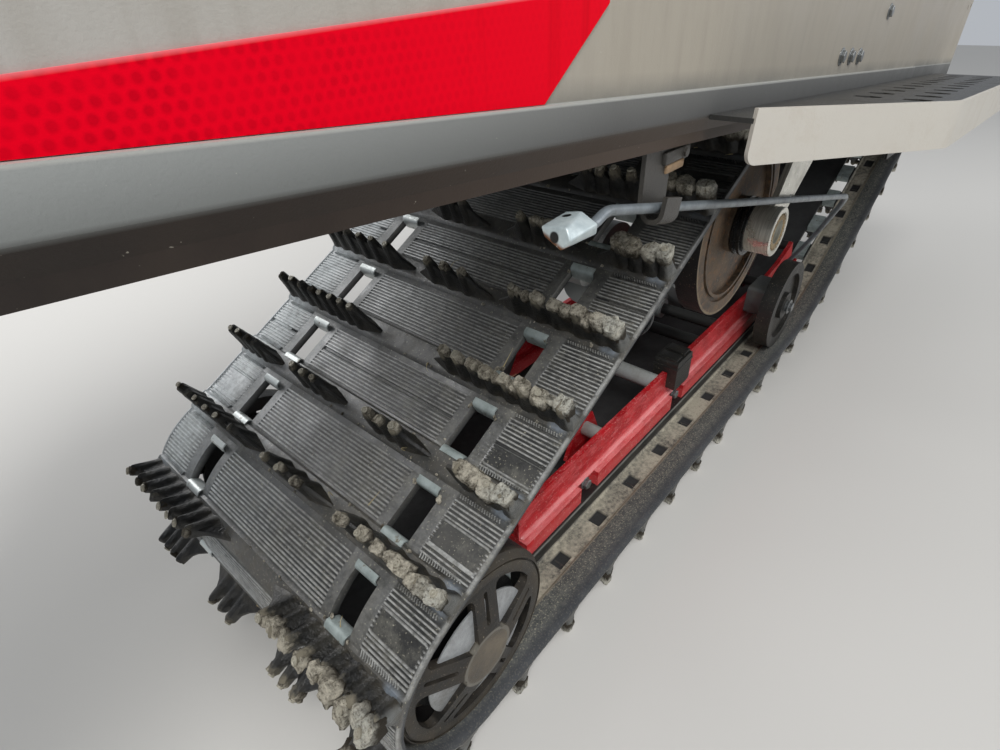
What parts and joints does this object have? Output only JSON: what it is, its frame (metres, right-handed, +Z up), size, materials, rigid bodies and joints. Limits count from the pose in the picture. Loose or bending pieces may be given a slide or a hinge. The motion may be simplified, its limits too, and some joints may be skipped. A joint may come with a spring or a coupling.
{
  "type": "snowmobile rear track unit",
  "caption": "Rear end of a snowmobile: a lugged rubber track round red slide rails and idler wheels, under a sheet tunnel with boards, flap and bumper.",
  "frame": {"origin": "on the ground under the middle of the unit", "axes": "+X forward, +Y to the rider's left, +Z up"},
  "size_m": [1.9303, 0.683, 0.7193],
  "materials": {
    "painted_grey": "satin",
    "painted_red": "satin",
    "painted_black": "satin",
    "edge_grey": "satin",
    "reflector_red": "gloss",
    "track_rubber": "matte",
    "flap_rubber": "matte",
    "boot_rubber": "satin",
    "slide_plastic": "matte",
    "wheel_plastic": "matte",
    "block_plastic": "matte",
    "block_grey": "matte",
    "bare_aluminium": "satin",
    "shaft_steel": "satin",
    "rod_steel": "satin",
    "bright_aluminium": "satin",
    "strap_web": "matte"
  },
  "bodies": {
    "root": {"axle_carriers": "painted_black", "board_edge_left": "edge_grey", "board_edge_right": "edge_grey", "cross_shafts": "bright_aluminium", "drive_axle": "shaft_steel", "drive_bearings": "bare_aluminium", "drive_wheels": "wheel_plastic", "drop_bracket_left": "bare_aluminium", "drop_bracket_right": "bare_aluminium", "front_arm": "painted_black", "front_arm_shaft": "shaft_steel", "front_shock": "bright_aluminium", "limiter_strap": "strap_web", "rail_left": "painted_red", "rail_right": "painted_red", "rear_arm": "painted_black", "rear_axle": "shaft_steel", "rear_bumper": "painted_black", "rear_shock": "bright_aluminium", "rear_wheel_left": "wheel_plastic", "rear_wheel_right": "wheel_plastic", "reflector_left": "reflector_red", "reflector_right": "reflector_red", "rest_blocks": "block_plastic", "running_board_left": "painted_black", "running_board_right": "painted_black", "scratcher_hook_left": "painted_black", "scratcher_hook_right": "painted_black", "scratcher_left": "rod_steel", "scratcher_right": "rod_steel", "shaft_boot_left": "boot_rubber", "shaft_boot_right": "boot_rubber", "shaft_plates": "painted_red", "side_blocks": "block_grey", "side_wheels": "wheel_plastic", "slide_left": "slide_plastic", "slide_right": "slide_plastic", "snow_flap": "flap_rubber", "track": "track_rubber", "tunnel_left": "painted_grey", "tunnel_right": "painted_grey", "tunnel_top": "bright_aluminium", "upper_shaft": "shaft_steel", "upper_wheel_left": "wheel_plastic", "upper_wheel_right": "wheel_plastic"}
  },
  "joints": []
}
